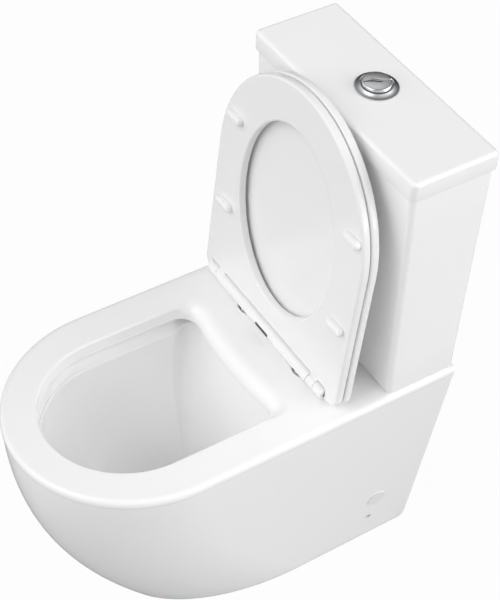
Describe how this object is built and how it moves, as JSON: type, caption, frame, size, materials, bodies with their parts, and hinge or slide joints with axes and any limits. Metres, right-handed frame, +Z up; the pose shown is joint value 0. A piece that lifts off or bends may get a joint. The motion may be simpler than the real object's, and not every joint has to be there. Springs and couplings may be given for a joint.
{
  "type": "close coupled toilet",
  "caption": "Close coupled toilet: back-to-wall rimless pan, slim cistern with a round dual flush button, and a soft-close seat and lid raised on a quick-release hinge.",
  "frame": {"origin": "on the floor, midway across and midway along the pan", "axes": "+X across, to the right hand of someone facing the wall; +Y to the wall; +Z up"},
  "size_m": [0.362, 0.61, 0.8369],
  "materials": {
    "vitreous_china": "glossy white glaze",
    "white_seat_plastic": "smooth gloss white thermoset",
    "white_buffer": "soft satin white",
    "dark_plastic": "dark satin",
    "chromed_plastic": "bright chrome plating on plastic",
    "white_plastic": "moulded white",
    "blue_plastic": "moulded blue",
    "black_rubber": "matt black",
    "zinc_plated_steel": "zinc plated",
    "stainless_steel": "bright drawn"
  },
  "bodies": {
    "base": {"pan": "vitreous_china", "cistern": "vitreous_china", "cistern_lid": "vitreous_china", "hinge_mounts": "white_plastic", "hinge_washers": "black_rubber", "hinge_nuts": "white_plastic", "button_bezel": "chromed_plastic", "button_housing": "white_plastic", "button_clamp_nut": "white_plastic", "full_button_spring": "stainless_steel", "half_button_spring": "stainless_steel", "flush_valve_gasket": "black_rubber", "flush_valve_base": "white_plastic", "flush_valve_backnut": "white_plastic", "flush_valve_tower": "white_plastic", "lever_pin": "stainless_steel", "coupling_seal": "black_rubber", "coupling_bolts": "zinc_plated_steel", "coupling_washers": "black_rubber", "coupling_plates": "zinc_plated_steel", "coupling_nuts": "zinc_plated_steel", "fill_valve": "white_plastic", "fill_valve_gasket": "black_rubber", "fill_valve_backnut": "white_plastic", "fill_valve_head": "white_plastic", "float_lever_pin": "stainless_steel", "side_caps": "white_plastic", "fixing_screws": "zinc_plated_steel", "floor_brackets": "zinc_plated_steel"},
    "hinge": {"hinge_bar": "white_seat_plastic", "seat_damper": "stainless_steel", "lid_damper": "stainless_steel"},
    "release": {"release_button": "dark_plastic"},
    "lid": {"seat_lid": "white_seat_plastic", "lid_buffers": "white_buffer", "lid_damper_shaft": "stainless_steel"},
    "seat": {"seat_ring": "white_seat_plastic", "seat_buffers": "white_buffer", "seat_damper_shaft": "stainless_steel"},
    "full_button": {"full_flush_button": "chromed_plastic", "full_push_rod": "white_plastic"},
    "half_button": {"half_flush_button": "chromed_plastic", "half_push_rod": "white_plastic"},
    "full_lever": {"full_flush_lever": "blue_plastic"},
    "half_lever": {"half_flush_lever": "blue_plastic"},
    "plunger": {"flush_plunger": "white_plastic", "flush_seal": "black_rubber"},
    "half_float": {"half_flush_float": "white_plastic"},
    "float": {"fill_float": "blue_plastic"},
    "float_arm": {"float_lever": "white_plastic"}
  },
  "joints": [
    {"name": "seat_lift_off", "type": "slide", "parent": "base", "child": "hinge", "axis": [0, 0, 1], "range_m": [0, 0.012]},
    {"name": "release_press", "type": "slide", "parent": "hinge", "child": "release", "axis": [0, 1, 0], "range_m": [0, 0.003], "stiffness_N_per_m": 800, "springref_m": -0.003},
    {"name": "lid_hinge", "type": "hinge", "parent": "hinge", "child": "lid", "pos_m": [0, 0.108, 0.42], "axis": [1, 0, 0], "range_deg": [0, 94]},
    {"name": "seat_hinge", "type": "hinge", "parent": "lid", "child": "seat", "pos_m": [0, 0.108, 0.42], "axis": [-1, 0, 0], "range_deg": [-94, 0]},
    {"name": "full_flush_press", "type": "slide", "parent": "base", "child": "full_button", "axis": [0, 0, -1], "range_m": [0, 0.007], "stiffness_N_per_m": 900, "springref_m": -0.004, "deforming": ["full_button_spring"]},
    {"name": "half_flush_press", "type": "slide", "parent": "base", "child": "half_button", "axis": [0, 0, -1], "range_m": [0, 0.007], "stiffness_N_per_m": 900, "springref_m": -0.004, "deforming": ["half_button_spring"]},
    {"name": "full_lever_rock", "type": "hinge", "parent": "base", "child": "full_lever", "pos_m": [0.01, 0.261, 0.722], "axis": [1, 0, 0], "range_deg": [0, 25]},
    {"name": "half_lever_rock", "type": "hinge", "parent": "base", "child": "half_lever", "pos_m": [-0.01, 0.261, 0.722], "axis": [1, 0, 0], "range_deg": [0, 25]},
    {"name": "plunger_lift", "type": "slide", "parent": "base", "child": "plunger", "axis": [0, 0, 1], "range_m": [0, 0.007]},
    {"name": "half_float_lift", "type": "slide", "parent": "base", "child": "half_float", "axis": [0, 0, 1], "range_m": [0, 0.007]},
    {"name": "fill_float_rise", "type": "slide", "parent": "base", "child": "float", "axis": [0, 0, 1], "range_m": [0, 0.01]},
    {"name": "float_lever_rock", "type": "hinge", "parent": "base", "child": "float_arm", "pos_m": [-0.118, 0.243, 0.744], "axis": [0, 1, 0], "range_deg": [0, 21]}
  ],
  "couplings": [
    {"joint": "full_lever_rock", "follows": "full_flush_press", "rad_per_m": 55.556},
    {"joint": "plunger_lift", "follows": "full_flush_press", "ratio": 1},
    {"joint": "half_lever_rock", "follows": "half_flush_press", "rad_per_m": 55.556},
    {"joint": "half_float_lift", "follows": "half_flush_press", "ratio": 1},
    {"joint": "float_lever_rock", "follows": "fill_float_rise", "rad_per_m": 33.333}
  ]
}
